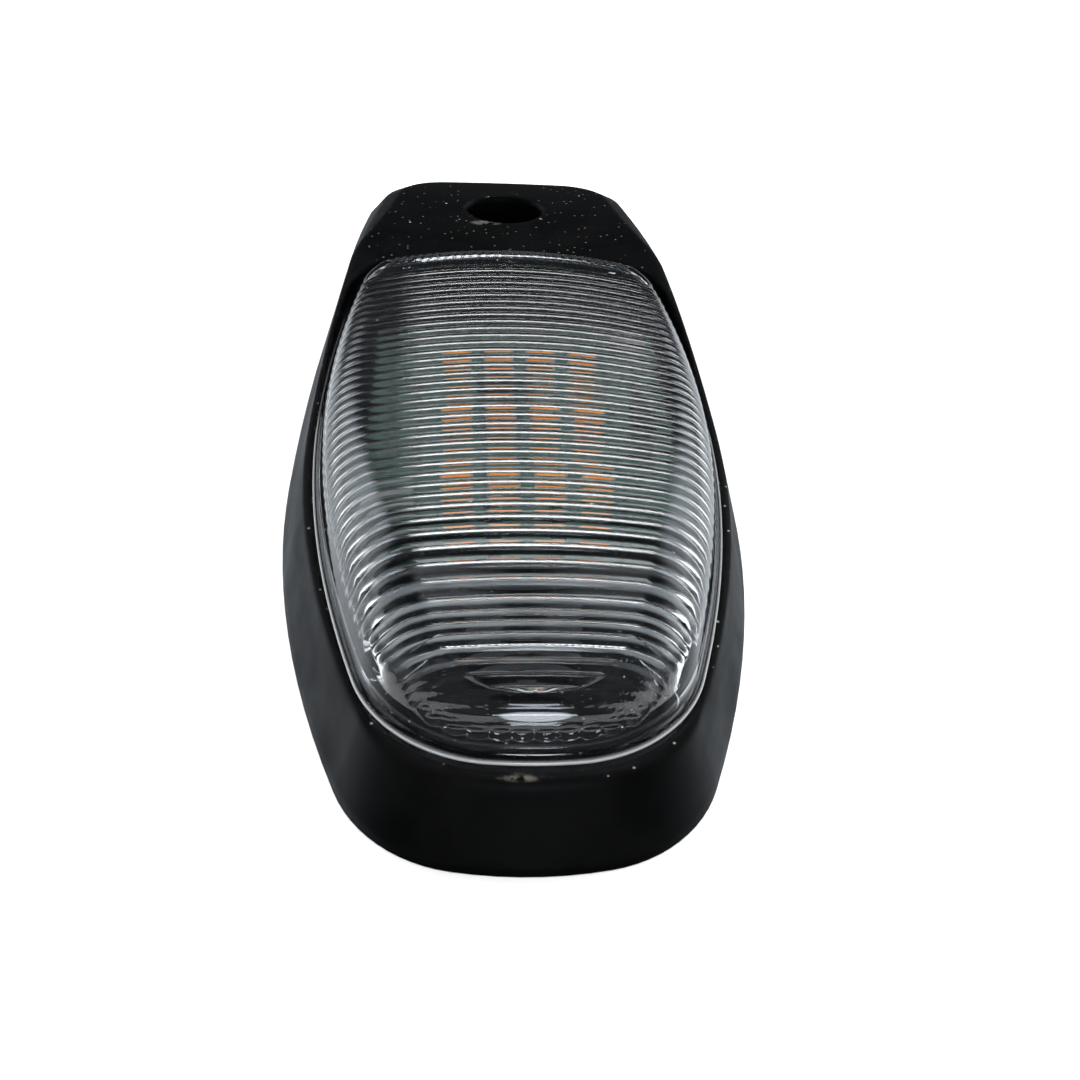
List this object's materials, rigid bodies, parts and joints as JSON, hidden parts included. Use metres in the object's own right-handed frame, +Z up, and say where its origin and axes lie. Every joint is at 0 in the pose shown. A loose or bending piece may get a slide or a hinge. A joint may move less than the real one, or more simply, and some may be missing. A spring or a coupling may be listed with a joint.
{
  "type": "roof marker lamp",
  "caption": "Low teardrop-shaped roof marker lamp: black moulded housing with a screw lug at its rear end, and a clear domed lens with fine cross flutes over a small LED board.",
  "frame": {"origin": "under the middle of the lamp's length and width, on the plane it is mounted by", "axes": "+Z up, away from the roof; +Y along the lamp towards the screw lug; -Y the rounded front end"},
  "size_m": [0.056, 0.132, 0.022],
  "materials": {
    "housing_plastic": "satin black moulded plastic with a fine grain",
    "clear_lens": "clear, glossy outside, fluted inside",
    "seal_rubber": "matte",
    "gasket_foam": "closed-cell foam, matte",
    "grommet_rubber": "matte",
    "board_laminate": "green solder mask",
    "screw_metal": "zinc plated",
    "chip_plastic": "matte",
    "capacitor_ceramic": "ceramic with tinned ends",
    "resistor_ceramic": "dark glaze with tinned ends",
    "terminal_metal": "tinned",
    "led_plastic": "white",
    "led_phosphor": "orange phosphor resin"
  },
  "bodies": {
    "root": {"housing": "housing_plastic", "lens": "clear_lens", "lens_seal": "seal_rubber", "base_gasket": "gasket_foam", "lead_grommet": "grommet_rubber", "led_board": "board_laminate", "board_screws": "screw_metal", "protection_diode": "chip_plastic", "current_driver": "chip_plastic", "filter_capacitor": "capacitor_ceramic", "resistor_1": "resistor_ceramic", "resistor_2": "resistor_ceramic", "resistor_3": "resistor_ceramic", "resistor_4": "resistor_ceramic", "lead_terminal_1": "terminal_metal", "lead_terminal_2": "terminal_metal", "led_1": "led_plastic", "led_phosphor_1": "led_phosphor", "led_2": "led_plastic", "led_phosphor_2": "led_phosphor", "led_3": "led_plastic", "led_phosphor_3": "led_phosphor", "led_4": "led_plastic", "led_phosphor_4": "led_phosphor", "led_5": "led_plastic", "led_phosphor_5": "led_phosphor", "led_6": "led_plastic", "led_phosphor_6": "led_phosphor", "led_7": "led_plastic", "led_phosphor_7": "led_phosphor", "led_8": "led_plastic", "led_phosphor_8": "led_phosphor", "led_9": "led_plastic", "led_phosphor_9": "led_phosphor", "led_10": "led_plastic", "led_phosphor_10": "led_phosphor", "led_11": "led_plastic", "led_phosphor_11": "led_phosphor", "led_12": "led_plastic", "led_phosphor_12": "led_phosphor"}
  },
  "joints": []
}
